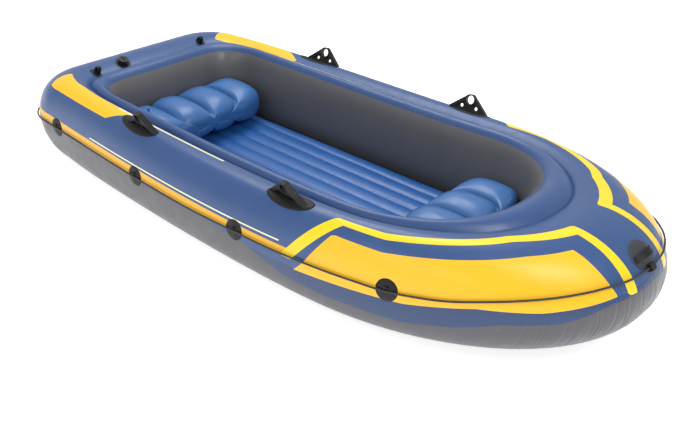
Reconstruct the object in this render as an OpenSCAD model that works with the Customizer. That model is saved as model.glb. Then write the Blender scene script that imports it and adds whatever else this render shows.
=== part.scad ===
// Three-person inflatable dinghy: a closed ring of double tube round an inflated, ribbed floor.
// +X points to the bow, +Y to port, +Z up. The origin is on the ground under the middle of the tubes.
// A section of the ring is two tall lobes side by side, an outer and an inner air chamber.

/* [Hull plan] */
// Length over the tubes
hull_l = 2950; // [2460:10:3540]
// Width over the tubes at the widest place
hull_w = 1370; // [1140:10:1640]
// How much narrower each side is at the stern
stern_taper = 89; // [40:1:110]
// Radius of the stern's outer corners
stern_r = 223; // [150:1:270]
// Length of the rounded bow
bow_l = 1374; // [1145:1:1650]
// Width of the cockpit at its widest place
cockpit_w = 854; // [712:2:960]
// How much narrower each side of the cockpit is at the stern
cockpit_taper = 23; // [10:1:40]
// Radius of the cockpit's stern corners
cockpit_r = 145; // [100:1:175]
// Depth of the tube across the stern
stern_deck = 398; // [340:1:470]
// Depth of the tube across the bow
bow_deck = 617; // [520:1:740]
// Length of the cockpit's rounded front end
cockpit_round = 398; // [330:1:478]

/* [Tube section] */
// Height of the side tubes
tube_h = 394; // [330:2:470]
// Extra height of the tube at the bow
bow_swell = 24; // [0:1:30]
// How far the tip of the bow is lifted
bow_lift = 66; // [0:1:80]
// Share of the tube's width taken by half the outer lobe
lobe_share = 0.442; // [0.40:0.002:0.47]
// Angle round the outer lobe of the groove between the lobes
groove_angle = 122; // [112:1:130]
// Angle round the outer lobe of the seam between upper and lower skin
seam_angle = -8; // [-30:1:0]
// Angle round the inner lobe of the seam between top and wall skin
wall_angle = 121; // [100:1:140]
// Thickness of the coated fabric
skin_t = 1; // [0.8:0.1:1.6]
// Thickness of the bottom sheet
sheet_t = 1.5; // [1:0.1:2.5]

/* [Floor] */
// Height of the inflated floor
floor_h = 76; // [60:1:95]
// Number of lengthwise ribs
floor_ribs = 10; // [8:1:12]
// Depth of the valleys between ribs
rib_sag = 14; // [8:1:20]
// Gap between the floor and the tubes
floor_gap = 4; // [3:0.5:10]

/* [Seats] */
// Length of a seat cushion, fore and aft
seat_l = 300; // [250:2:350]
// Thickness of a seat cushion
seat_h = 190; // [158:2:228]
// Width of a seat cushion
seat_w = 736; // [620:2:750]
// Number of lobes across a cushion
seat_lobes = 4; // [3:1:6]
// Depth of the creases between the lobes
seat_crease = 42; // [20:1:50]
// Gap between a cushion and what surrounds it
seat_gap = 8; // [5:1:20]

/* [Oarlocks] */
// Places of the two oarlock pairs, measured from the stern
oarlock_x = [885, 1742];
// Length of an oarlock's foot
fin_l = 190; // [158:2:228]
// Height of an oarlock
fin_h = 74; // [66:1:89]
// Width of an oarlock across its rim
fin_w = 24; // [18:1:28]
// Thickness of an oarlock's web
web_t = 8; // [5:0.5:12]
// Angle round the tube of the oarlocks
fin_angle = 79; // [70:1:90]
// Diameter of the hole for the oar
oar_d = 40; // [34:0.5:46]
// Diameter of the two small cord holes
small_d = 16; // [10:0.5:18]
// Rim left round the oar hole
fin_rim = 6; // [5:0.5:8]

/* [Deck fittings] */
// Place of the motor bracket fittings, to each side of the middle of the stern
bracket_y = 370; // [340:2:372]
// Diameter of the cross hole in a motor bracket fitting
bracket_d = 12; // [10:0.5:14.5]
// Width of the lug of a motor bracket fitting
bracket_w = 18; // [15:0.5:22]
// Place of the outer chamber's valve, from the middle of the stern to starboard
valve_y = 158; // [130:2:200]
// Place of the inner chamber's valve along the starboard wall, from the stern
wall_valve_x = 1180; // [1000:10:1350]
// Thickness of the welded base patches
patch_t = 2.5; // [2:0.1:4]

/* [Chamber valve] */
// Inner radius of the valve's socket
socket_r = 21; // [17.5:0.1:25.2]
// Radial clearance of turning pieces
turn_gap = 0.1; // [0.05:0.01:0.1]
// Rise of the valve's screw threads for one turn
pitch = 4; // [3:0.5:6]
// Wall of the socket, the insert and the cap's plug
valve_wall = 3.6; // [3:0.1:4.5]

/* [Small valve] */
// Radius of the bore of a seat or floor valve
stem_bore = 4; // [3.3:0.1:4.8]
// Wall of the stem
stem_wall = 2; // [1.6:0.1:2.4]
// Height of the stem above the fabric
stem_h = 15; // [12.5:0.5:18]

/* [Grab line] */
// Diameter of the grab line
rope_d = 8; // [6:0.5:9]
// Diameter of a rope holder's disc
holder_d = 88; // [74:1:105]
// Places of the rope holders along each side, from the stern
holder_x = [303, 929, 1548, 2249];

/* [Hidden] */

$fn = 48;
x_mid = hull_l / 2;
lift_l = 1441;              // length over which the bow rises
lobe_drop = 4;              // the inner lobe's crest is this much lower than the outer lobe's
weld_gap = 0.3;             // the divider stops this far inside the skins

// ---- Plan of the ring: half outlines from the middle of the stern to the tip of the bow ----

function half_plan(x0, w0, w1, r, xn, xe, ex, ey) = concat(
    [for (k = [0:2]) [x0, (w0 - r) * k / 3]],
    [for (k = [0:11]) [x0 + r - r * cos(7.5 * k), w0 - r + r * sin(7.5 * k)]],
    [for (k = [0:15]) [x0 + r + (xn - x0 - r) * k / 16, w0 + (w1 - w0) * sin(90 * k / 16)]],
    [for (k = [0:30]) [xn + (xe - xn) * pow(sin(3 * k), 2 / ex), w1 * pow(max(cos(3 * k), 0), 2 / ey)]]);
function run(p, k = 1, sum = [0]) = k == len(p) ? sum
    : run(p, k + 1, concat(sum, [sum[k - 1] + norm(p[k] - p[k - 1])]));
function x_table(p, c) = [for (k = [2:len(p) - 1]) [p[k].x, c[k]]];
function y_table(p) = [for (k = [2:len(p) - 1]) [p[k].x, p[k].y]];

outer_plan = half_plan(0, hull_w / 2 - stern_taper, hull_w / 2, stern_r, hull_l - bow_l, hull_l, 2.5, 2.15);
inner_front = hull_l - bow_deck;
inner_stern_w = cockpit_w / 2 - cockpit_taper;
inner_plan = half_plan(stern_deck, inner_stern_w, cockpit_w / 2, cockpit_r,
    inner_front - cockpit_round, inner_front, 2.15, 2.3);
outer_run = run(outer_plan);
inner_run = run(inner_plan);
outer_len = outer_run[len(outer_run) - 1];
inner_len = inner_run[len(inner_run) - 1];
outer_by_x = x_table(outer_plan, outer_run);
inner_by_x = x_table(inner_plan, inner_run);
inner_y_by_x = y_table(inner_plan);
outer_x_by_run = [for (k = [0:len(outer_plan) - 1]) [outer_run[k], outer_plan[k].x]];
outer_y_by_run = [for (k = [0:len(outer_plan) - 1]) [outer_run[k], outer_plan[k].y]];
inner_x_by_run = [for (k = [0:len(inner_plan) - 1]) [inner_run[k], inner_plan[k].x]];
inner_y_by_run = [for (k = [0:len(inner_plan) - 1]) [inner_run[k], inner_plan[k].y]];

// Runs along the outer outline that face runs along the inner one
corner_from = inner_stern_w - cockpit_r;
corner_to = stern_deck + cockpit_r;
round_from = inner_front - cockpit_round;
outer_marks = [0, corner_from, lookup(corner_to, outer_by_x), lookup(round_from, outer_by_x), outer_len];
inner_marks = [0, corner_from, lookup(corner_to, inner_by_x), lookup(round_from, inner_by_x), inner_len];
facing = [for (k = [0:4]) [outer_marks[k], inner_marks[k]]];

// ---- One section of the ring, at a run along the outer outline; past the tip it is mirrored ----

function ease(t) = t * t * (3 - 2 * t);
function clamp(t) = min(max(t, 0), 1);
function rise(x) = bow_lift * pow(clamp((x - hull_l + lift_l) / lift_l), 2);
function outer_at(s) = [lookup(s, outer_x_by_run), lookup(s, outer_y_by_run)];
function inner_at(s) = [lookup(s, inner_x_by_run), lookup(s, inner_y_by_run)];
function section(s) = s > outer_len ? flip(section(2 * outer_len - s)) : let(
    o = outer_at(s), i = inner_at(lookup(s, facing)),
    w = norm(o - i), n = (o - i) / w, a = lobe_share * w,
    cx = o.x - n.x * a,
    b = (tube_h + bow_swell * ease(clamp((cx - 0.4 * hull_l) / (0.5 * hull_l)))) / 2,
    ground = rise(cx),
    gu = a * (1 - cos(groove_angle)), gz = b * sin(groove_angle),
    bi = b - lobe_drop, g = asin(gz / bi), ai = (w - gu) / (1 + cos(g)))
    [o, n, a, b, ground + sheet_t + b, w - ai, ai, bi, g, ground];
function flip(c) = [[c[0].x, -c[0].y], [c[1].x, -c[1].y], c[2], c[3], c[4], c[5], c[6], c[7], c[8], c[9]];
function placed(c, u, z) = [c[0].x - c[1].x * u - x_mid, c[0].y - c[1].y * u, c[4] + z];
function outer_pt(c, t, inset = 0) = placed(c, c[2] - (c[2] - inset) * cos(t), (c[3] - inset) * sin(t));
function inner_pt(c, t, inset = 0) = placed(c, c[5] - (c[6] - inset) * cos(t), (c[7] - inset) * sin(t));
function unit(v) = v / norm(v);
function outer_normal(s, t) = let(c = section(s),
    along = outer_pt(section(s + 5), t) - outer_pt(section(s - 5), t),
    up = outer_pt(c, t + 1) - outer_pt(c, t - 1))
    unit(cross(up, along));

// Puts children on the outer lobe: their +X is the outward normal, their +Y runs along the outline
module on_tube(s, t) {
    n = outer_normal(s, t);
    translate(outer_pt(section(s), t)) rotate([0, -asin(n.z), atan2(n.y, n.x)]) children();
}

// Stations along a half, closer at the corners and the bow, and round the whole ring
counts = [3, 7, 9, 13];
half_runs = concat([for (k = [0:3], j = [0:counts[k] - 1])
    outer_marks[k] + (outer_marks[k + 1] - outer_marks[k]) * j / counts[k]], [outer_len]);
half_ring = [for (s = half_runs) section(s)];
ring = concat(half_ring, [for (k = [len(half_ring) - 2:-1:1]) flip(half_ring[k])]);

// ---- Sweeps: rings of equal point count joined by triangles, closed on itself or capped. ----
// ---- The second half of a ring runs back under the first, so both are split the same way. ----

function quad(a, b, c, d, first) = first ? [[a, b, c], [a, c, d]] : [[a, b, d], [b, c, d]];
function skin_faces(m, n, wrap) = [for (i = [0:(wrap ? m : m - 1) - 1], j = [0:n - 1], f = quad(
    i * n + j, i * n + (j + 1) % n, ((i + 1) % m) * n + (j + 1) % n, ((i + 1) % m) * n + j, j < n / 2)) f];
module sweep(rings, wrap = false) {
    m = len(rings);
    n = len(rings[0]);
    caps = wrap ? [] : [[for (j = [n - 1:-1:0]) j], [for (j = [0:n - 1]) (m - 1) * n + j]];
    polyhedron(points = [for (r = rings, p = r) p], faces = concat(skin_faces(m, n, wrap), caps),
        convexity = 8);
}

function arc(from, to, steps) = [for (k = [0:steps]) from + (to - from) * k / steps];
function outer_strip(c, angles) = concat([for (t = angles) outer_pt(c, t)],
    [for (k = [len(angles) - 1:-1:0]) outer_pt(c, angles[k], skin_t)]);
function inner_strip(c, angles) = concat([for (t = angles) inner_pt(c, t)],
    [for (k = [len(angles) - 1:-1:0]) inner_pt(c, angles[k], skin_t)]);

// ---- Hull skins ----

module outer_upper_skin() {
    color("steelblue") difference() {
        sweep([for (c = ring) outer_strip(c, arc(seam_angle, groove_angle, 9))], true);
        at_deck_valve() translate([0, 0, -40]) cylinder(r = socket_r + valve_wall + 1, h = 60);
    }
}
module outer_lower_skin() {
    color("dimgray")
        sweep([for (c = ring) outer_strip(c, arc(-groove_angle, seam_angle, 7))], true);
}
module inner_top_skin() {
    color("steelblue") sweep([for (c = ring) inner_strip(c, arc(c[8], wall_angle, 3))], true);
}
module inner_wall_skin() {
    color("gray") difference() {
        sweep([for (c = ring) inner_strip(c, arc(wall_angle, 360 - c[8], 8))], true);
        at_wall_valve() translate([0, 0, -40]) cylinder(r = socket_r + valve_wall + 1, h = 60);
    }
}
module chamber_divider() {
    color("lightgray") sweep([for (c = ring) let(
        u = c[2] * (1 - cos(groove_angle)), z = c[3] * sin(groove_angle) - skin_t - weld_gap)
        [placed(c, u, z), placed(c, u + skin_t, z), placed(c, u + skin_t, -z), placed(c, u, -z)]], true);
}
module bottom_sheet() {
    edge = [for (k = [counts[0]:len(half_ring) - 2]) outer_pt(half_ring[k], -90)];
    color("dimgray") sweep([for (p = edge) let(z = rise(p.x + x_mid))
        [[p.x, p.y, z], [p.x, p.y, z + sheet_t], [p.x, -p.y, z + sheet_t], [p.x, -p.y, z]]]);
}

// ---- Floor ----

rib_steps = 4;
floor_end = 70;             // length over which each end of the floor rounds down
floor_x0 = stern_deck + floor_gap;
floor_x1 = inner_front - floor_gap;
floor_side = 0.35;          // height left at the floor's edge, as a share of floor_h
function floor_end_height(x) = let(d = clamp(min(x - floor_x0, floor_x1 - x) / floor_end))
    sqrt(1 - pow(1 - d, 2));
function floor_half_w(x) = lookup(clamp_x(x), inner_y_by_x) - floor_gap;
function clamp_x(x) = min(max(x, stern_deck + 1), inner_front - 1);
function rib_height(v) = let(r = v * floor_ribs, f = 2 * (r - floor(min(r, floor_ribs - 0.001))) - 1,
    edge = (r < 0.5 || r > floor_ribs - 0.5) ? floor_h * (1 - floor_side) : rib_sag)
    floor_h - edge * (1 - sqrt(max(1 - f * f, 0)));
floor_stations = [for (k = [0:19]) let(t = (1 - cos(9 + 162 * k / 19)) / 2)
    floor_x0 + (floor_x1 - floor_x0) * t];
function floor_ring(x) = let(w = floor_half_w(x), z = rise(x) + sheet_t, e = floor_end_height(x),
    n = floor_ribs * rib_steps)
    concat([for (j = [0:n]) [x - x_mid, w * (1 - 2 * j / n), z + rib_height(j / n) * e]],
    [for (j = [n:-1:0]) [x - x_mid, w * (1 - 2 * j / n), z + rib_height(j / n) * e - skin_t]]);
module floor_top_sheet() {
    color("royalblue") difference() {
        sweep([for (x = floor_stations) floor_ring(x)]);
        at_floor_valve() translate([0, 0, -20]) cylinder(r = stem_bore + stem_wall + 1, h = 40);
    }
}
module floor_webs() {
    inner = [for (k = [3:len(floor_stations) - 4]) floor_stations[k]];
    color("royalblue") for (r = [1:floor_ribs - 1])
        sweep([for (x = inner) let(y = floor_half_w(x) * (1 - 2 * r / floor_ribs), z = rise(x) + sheet_t,
            h = (floor_h - rib_sag) * floor_end_height(x) - skin_t - weld_gap)
            [[x - x_mid, y - skin_t / 2, z], [x - x_mid, y - skin_t / 2, z + h],
            [x - x_mid, y + skin_t / 2, z + h], [x - x_mid, y + skin_t / 2, z]]]);
}

// ---- Seat cushions: rings along the boat, each a closed outline of lobes ----

seat_z = sheet_t + floor_h + seat_gap / 4;
stern_seat_x = stern_deck + seat_gap + seat_l / 2;
bow_seat_x = inner_front - seat_l / 2 - 90;
seat_steps = 6;
function seat_half_w(x) = min(lookup(clamp_x(x), inner_y_by_x) - seat_gap,
    seat_w / 2);
function lobe_height(v) = let(r = v * seat_lobes, f = 2 * (r - floor(min(r, seat_lobes - 0.001))) - 1,
    end = (r < 0.5 || r > seat_lobes - 0.5) && (r - seat_lobes / 2) * f > 0,
    cut = end ? seat_h / 2 : seat_crease)
    seat_h / 2 - cut * (1 - sqrt(max(1 - f * f, 0)));
function seat_ring(xc, t) = let(x = xc + t * seat_l / 2, f = pow(1 - pow(abs(t), 2.6), 0.5),
    w = seat_half_w(x) * pow(1 - pow(abs(t), 5), 0.25), n = seat_lobes * seat_steps,
    z = seat_z + rise(x) + seat_h / 2)
    concat([for (j = [0:n]) [x - x_mid, w * (1 - 2 * j / n), z + lobe_height(j / n) * f]],
    [for (j = [n - 1:-1:1]) [x - x_mid, w * (1 - 2 * j / n), z - lobe_height(j / n) * f]]);
module cushion(xc) {
    sweep([for (k = [-5:5]) seat_ring(xc, sin(k * 16.4))]);
}
module stern_seat() {
    color("cornflowerblue") difference() {
        cushion(stern_seat_x);
        at_stern_seat_valve() translate([0, 0, -stem_h - 4]) cylinder(r = stem_bore + stem_wall + 1, h = 60);
    }
}
module bow_seat() {
    color("cornflowerblue") difference() {
        cushion(bow_seat_x);
        at_bow_seat_valve() translate([0, 0, -stem_h - 4]) cylinder(r = stem_bore + stem_wall + 1, h = 60);
    }
}

// ---- Seat and floor valves: a welded ring, a stem that pushes in flush, and a plug ----

lobe_w = seat_w / seat_lobes;
seat_valve_y = -(seat_lobes - 1) / 2 * lobe_w;
ring_t = 1.5;               // thickness of the welded ring
stem_r = stem_bore + stem_wall;
module at_stern_seat_valve() {
    translate([stern_seat_x - x_mid, seat_valve_y, seat_z + seat_h]) children();
}
module at_bow_seat_valve() {
    translate([bow_seat_x - x_mid, seat_valve_y, seat_z + seat_h + rise(bow_seat_x)]) children();
}
floor_valve_x = 900;        // between the cushions, on the crest of the second starboard rib
module at_floor_valve() {
    translate([floor_valve_x - x_mid, -floor_half_w(floor_valve_x) * (1 - 3 / floor_ribs), sheet_t + floor_h])
        children();
}
module valve_ring() {
    color("royalblue") difference() {
        translate([0, 0, -ring_t]) cylinder(r = 3 * stem_r, h = 2 * ring_t);
        translate([0, 0, -ring_t - 1]) cylinder(r = stem_r + turn_gap, h = 2 * ring_t + 2);
    }
}
module valve_stem() {
    color("royalblue") difference() {
        translate([0, 0, -2]) cylinder(r = stem_r, h = stem_h + 2);
        translate([0, 0, -3]) cylinder(r = stem_bore, h = stem_h + 4);
    }
}
module valve_plug() {
    color("royalblue") {
        translate([0, 0, stem_h + 0.3]) cylinder(r = stem_r + 1, h = 3);
        translate([0, 0, stem_h - 7]) cylinder(r = stem_bore - turn_gap, h = 8);
    }
}
module stern_seat_valve_ring() at_stern_seat_valve() valve_ring();
module stern_seat_valve_stem() at_stern_seat_valve() valve_stem();
module stern_seat_valve_plug() at_stern_seat_valve() valve_plug();
module bow_seat_valve_ring() at_bow_seat_valve() valve_ring();
module bow_seat_valve_stem() at_bow_seat_valve() valve_stem();
module bow_seat_valve_plug() at_bow_seat_valve() valve_plug();
module floor_valve_ring() at_floor_valve() valve_ring();
module floor_valve_stem() at_floor_valve() valve_stem();
module floor_valve_plug() at_floor_valve() valve_plug();

// ---- Chamber valves: base, seal, screwed insert with its flap, strap ring and screwed cap ----

flange_r = socket_r + 17;
flange_t = 6;               // two thirds of it are let into the skin
flange_in = 4;
collar_z = 6;               // top of the base's collar
seal_t = 2;
head_t = 5;                 // thickness of the insert's head
strap_t = 2;
cap_t = 8;
insert_r = socket_r - turn_gap;
mouth_r = insert_r - valve_wall;
head_z = collar_z + seal_t;
strap_z = head_z + head_t;
cap_z = strap_z + strap_t;
deck_valve_angle = 108;
module at_deck_valve() {
    mirror([0, 1, 0]) on_tube(valve_y, deck_valve_angle) rotate([0, 90, 0]) children();
}
wall_valve_c = section(lookup(wall_valve_x, outer_by_x));
wall_valve_pt = inner_pt(wall_valve_c, 180);
module at_wall_valve() {
    translate([wall_valve_pt.x, -wall_valve_pt.y, wall_valve_pt.z]) rotate([-90, 0, 0]) children();
}
module valve_base() {
    color("black") difference() {
        union() {
            translate([0, 0, -flange_in]) cylinder(r = flange_r, h = flange_t);
            translate([0, 0, -22]) cylinder(r = socket_r + valve_wall, h = 22 + collar_z);
        }
        translate([0, 0, -23]) cylinder(r = socket_r, h = 24 + collar_z);
    }
}
module valve_seal() {
    color("dimgray") translate([0, 0, collar_z]) difference() {
        cylinder(r = socket_r + valve_wall, h = seal_t);
        translate([0, 0, -1]) cylinder(r = insert_r + turn_gap, h = seal_t + 2);
    }
}
module valve_insert() {
    spoke_w = 3;
    color("black") {
        difference() {
            union() {
                translate([0, 0, -20]) cylinder(r = insert_r, h = 20 + head_z);
                translate([0, 0, head_z]) cylinder(r = socket_r + valve_wall + 4, h = head_t);
            }
            translate([0, 0, -21]) cylinder(r = mouth_r, h = 22 + strap_z);
        }
        difference() {
            union() {
                for (a = [20, 110])
                    rotate(a) translate([-mouth_r - 1, -spoke_w / 2, -16]) cube([2 * mouth_r + 2, spoke_w, 3]);
                translate([0, 0, -16]) cylinder(r = 5, h = 4);
            }
            translate([0, 0, -17]) cylinder(r = 2, h = 6);
        }
    }
}
module valve_flap() {
    color("darkslategray") {
        translate([0, 0, -17.4]) cylinder(r = mouth_r - 1, h = 1.2);
        translate([0, 0, -17]) cylinder(r = 2 - turn_gap, h = 6);
        translate([0, 0, -11.8]) cylinder(r = 3.4, h = 1.6);
    }
}
module valve_strap() {
    color("black") translate([0, 0, strap_z]) difference() {
        union() {
            cylinder(r = mouth_r + valve_wall, h = strap_t);
            translate([0, -4, 0]) cube([flange_r - 6, 8, strap_t]);
        }
        translate([0, 0, -1]) cylinder(r = mouth_r - valve_wall / 4, h = strap_t + 2);
    }
}
module valve_cap() {
    color("black") {
        difference() {
            translate([0, 0, cap_z]) cylinder(r = socket_r + valve_wall, h = cap_t);
            translate([0, 0, cap_z + cap_t - 2]) cylinder(r = mouth_r - 2, h = 3);
        }
        translate([0, 0, head_z - 2]) difference() {
            cylinder(r = mouth_r - valve_wall / 4 - turn_gap, h = cap_z - head_z + 2);
            translate([0, 0, -1]) cylinder(r = mouth_r - valve_wall, h = cap_z - head_z + 2);
        }
        translate([-socket_r + 3, -1.5, cap_z + cap_t - 2]) cube([2 * socket_r - 6, 3, 4]);
    }
}
module outer_valve_base() at_deck_valve() valve_base();
module outer_valve_seal() at_deck_valve() valve_seal();
module outer_valve_insert() at_deck_valve() valve_insert();
module outer_valve_flap() at_deck_valve() valve_flap();
module outer_valve_strap() at_deck_valve() valve_strap();
module outer_valve_cap() at_deck_valve() valve_cap();
module inner_valve_base() at_wall_valve() valve_base();
module inner_valve_seal() at_wall_valve() valve_seal();
module inner_valve_insert() at_wall_valve() valve_insert();
module inner_valve_flap() at_wall_valve() valve_flap();
module inner_valve_strap() at_wall_valve() valve_strap();
module inner_valve_cap() at_wall_valve() valve_cap();

// ---- Patches welded on the outer lobe: an oval that follows the tube ----

// s: run along the outline, t: angle round the lobe, half_s: half length, half_t: half angle
module tube_patch(s, t, half_s, half_t, thick) {
    steps = 5;
    across = 5;
    sweep([for (k = [-steps:steps]) let(f = sin(k * 85 / steps), c = section(s + f * half_s),
        h = half_t * sqrt(1 - f * f))
        concat([for (j = [0:across]) outer_pt(c, t - h + 2 * h * j / across, -thick)],
        [for (j = [across:-1:0]) outer_pt(c, t - h + 2 * h * j / across, 0)])]);
}

// ---- Oarlocks ----

fin_apex_r = oar_d / 2 + fin_rim;
fin_hole_z = fin_h - fin_apex_r;
function touch_angle(dx, dz, r) = asin(r / norm([dx, dz]));
flank_in = 0.6;             // the sloping sides cut this far into the round head
function touch_pt(side) = let(dx = fin_l / 2, dz = fin_hole_z, r = fin_apex_r - flank_in,
    b = atan2(dz, dx) + touch_angle(dx, dz, r), l = sqrt(dx * dx + dz * dz - r * r))
    [side * (dx - l * cos(b)), l * sin(b)];
module fin_outline() {
    polygon([[-fin_l / 2, 0], [fin_l / 2, 0], touch_pt(1), [0, fin_hole_z], touch_pt(-1)]);
    translate([0, fin_hole_z]) circle(r = fin_apex_r);
}
module fin_pocket() {
    difference() {
        polygon([[-fin_l / 2 + 26, fin_rim], [fin_l / 2 - 26, fin_rim], [0, fin_hole_z + fin_rim]]);
        translate([0, fin_hole_z]) circle(r = fin_apex_r);
    }
}
small_hole_at = [fin_apex_r + small_d / 2 + 2, fin_rim + small_d / 2 + 1];
module fin() {
    pocket = (fin_w - web_t) / 2;
    color("black") rotate([90, 0, 0]) translate([0, 0, -fin_w / 2]) difference() {
        linear_extrude(fin_w) fin_outline();
        translate([0, 0, -1]) linear_extrude(pocket + 1) fin_pocket();
        translate([0, 0, fin_w - pocket]) linear_extrude(pocket + 1) fin_pocket();
        translate([0, fin_hole_z, -1]) cylinder(d = oar_d, h = fin_w + 2);
        for (side = [-1, 1])
            translate([side * small_hole_at.x, small_hole_at.y, -1]) cylinder(d = small_d, h = fin_w + 2);
    }
}
// The fin stands square to the tube, its length along the outline
module place_fin(x) {
    on_tube(lookup(x, outer_by_x), fin_angle) translate([patch_t - 1, 0, 0]) rotate(a = 120, v = [1, 1, 1])
        fin();
}
module fin_patch(x) color("dimgray")
    tube_patch(lookup(x, outer_by_x), fin_angle, fin_l / 2 + 14, 24, patch_t);
module oarlock_port_aft() place_fin(oarlock_x[0]);
module oarlock_port_fore() place_fin(oarlock_x[1]);
module oarlock_starboard_aft() mirror([0, 1, 0]) place_fin(oarlock_x[0]);
module oarlock_starboard_fore() mirror([0, 1, 0]) place_fin(oarlock_x[1]);
module oarlock_patch_port_aft() fin_patch(oarlock_x[0]);
module oarlock_patch_port_fore() fin_patch(oarlock_x[1]);
module oarlock_patch_starboard_aft() mirror([0, 1, 0]) fin_patch(oarlock_x[0]);
module oarlock_patch_starboard_fore() mirror([0, 1, 0]) fin_patch(oarlock_x[1]);

// ---- Motor bracket fittings: an oval pad that follows the tube and an upright lug with a cross hole ----

bracket_angle = 112;
lug_l = 26;
lug_h = 36;
module motor_pads() {
    color("black") for (side = [0, 1]) mirror([0, side, 0])
        tube_patch(bracket_y, bracket_angle, 36, 10, patch_t);
}
module motor_lug() {
    lug_c = lug_h - lug_l / 2;
    color("black") on_tube(bracket_y, bracket_angle) difference() {
        union() {
            translate([0.5, -bracket_w / 2, -lug_l / 2]) cube([lug_c - 0.5, bracket_w, lug_l]);
            translate([lug_c, bracket_w / 2, 0]) rotate([90, 0, 0]) cylinder(r = lug_l / 2, h = bracket_w);
        }
        translate([lug_c, bracket_w / 2 + 1, 0]) rotate([90, 0, 0]) cylinder(d = bracket_d, h = bracket_w + 2);
    }
}
module motor_lug_port() motor_lug();
module motor_lug_starboard() mirror([0, 1, 0]) motor_lug();

// ---- Grab line and what holds it ----

// Starboard half of the line's route, from the middle of the stern to the middle of the bow
rope_half = [[-1483, 0, 198], [-1483, -140, 198], [-1483, -280, 198], [-1481, -360, 199], [-1475, -433, 199],
    [-1452, -488, 200], [-1415, -536, 201], [-1367, -573, 202], [-1312, -596, 204], [-1242, -606, 206],
    [-1173, -612, 206], [-1026, -627, 208], [-875, -642, 209], [-715, -656, 209], [-546, -669, 209],
    [-395, -679, 209], [-235, -686, 209], [-75, -691, 213], [73, -692, 218], [225, -692, 221],
    [375, -687, 228], [526, -675, 235], [657, -658, 242], [775, -636, 247], [888, -606, 261],
    [988, -571, 277], [1084, -526, 299], [1188, -462, 322], [1280, -384, 341], [1350, -297, 354],
    [1387, -235, 361], [1410, -185, 364], [1429, -125, 365], [1439, -62, 366], [1443, 0, 366]];
rope_out = 8;               // the line's middle lies this far outside the tube
rope_play = 2;              // radial play of the line in its holders
lug_top = 18;               // height of the line's holders above the tube
holder_angle = [2, 3, 5, 7];
lock_angle = 31;
function over(p) = [p.x, -p.y, p.z];
rope_route = concat(rope_half, [for (k = [len(rope_half) - 2:-1:1]) over(rope_half[k])]);
module rope_lug(length, from, tall) {
    difference() {
        translate([from, -length / 2, -tall / 2]) cube([lug_top - from, length, tall]);
        translate([rope_out, length / 2 + 1, 0]) rotate([90, 0, 0])
            cylinder(r = rope_d / 2 + rope_play, h = length + 2);
    }
}
module each_holder() {
    for (side = [0, 1], k = [0:len(holder_x) - 1]) mirror([0, side, 0]) {
        $s = lookup(holder_x[k], outer_by_x);
        $t = holder_angle[k];
        children();
    }
}
module holder_discs() {
    color("black") each_holder() tube_patch($s, $t, holder_d / 2, holder_d / tube_h * 57, patch_t);
}
module holder_lugs() {
    color("black") each_holder() on_tube($s, $t) rope_lug(26, patch_t - 1.5, 34);
}
patch_angle = 43;
module bow_patch() color("dimgray") tube_patch(outer_len, patch_angle, 72, 14, patch_t);
handle_rise = 26;
handle_half = 58;
handle_w = 24;
handle_t = 4;
handle_r = (pow(handle_half, 2) + pow(handle_rise, 2)) / (2 * handle_rise);
module bow_handle() {
    turn = asin(handle_half / handle_r);
    color("black") on_tube(outer_len, patch_angle)
        translate([patch_t + handle_rise - handle_r, 0, -handle_w / 2]) rotate([0, 0, -turn])
        rotate_extrude(angle = 2 * turn) translate([handle_r, 0]) square([handle_t, handle_w]);
}
module rope_lock() {
    color("black") on_tube(outer_len, lock_angle) rope_lug(32, -skin_t / 2, 26);
}
module grab_line() {
    n = len(rope_route);
    color("black") sweep([for (k = [0:n - 1]) let(
        p = rope_route[k], t = unit(rope_route[(k + 1) % n] - rope_route[(k + n - 1) % n]),
        side = unit(cross(t, [0, 0, 1])), up = cross(side, t))
        [for (a = [0:45:315]) p + rope_d / 2 * (side * cos(a) + up * sin(a))]], true);
}

outer_upper_skin();
outer_lower_skin();
inner_top_skin();
inner_wall_skin();
chamber_divider();
bottom_sheet();
floor_top_sheet();
floor_webs();
stern_seat();
bow_seat();
stern_seat_valve_ring();
stern_seat_valve_stem();
stern_seat_valve_plug();
bow_seat_valve_ring();
bow_seat_valve_stem();
bow_seat_valve_plug();
floor_valve_ring();
floor_valve_stem();
floor_valve_plug();
outer_valve_base();
outer_valve_seal();
outer_valve_insert();
outer_valve_flap();
outer_valve_strap();
outer_valve_cap();
inner_valve_base();
inner_valve_seal();
inner_valve_insert();
inner_valve_flap();
inner_valve_strap();
inner_valve_cap();
oarlock_port_aft();
oarlock_port_fore();
oarlock_starboard_aft();
oarlock_starboard_fore();
oarlock_patch_port_aft();
oarlock_patch_port_fore();
oarlock_patch_starboard_aft();
oarlock_patch_starboard_fore();
motor_pads();
motor_lug_port();
motor_lug_starboard();
holder_discs();
holder_lugs();
bow_patch();
bow_handle();
rope_lock();
grab_line();
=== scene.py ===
import math

import bmesh
import bpy
import numpy as np
from mathutils import Matrix, Vector, noise


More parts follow.
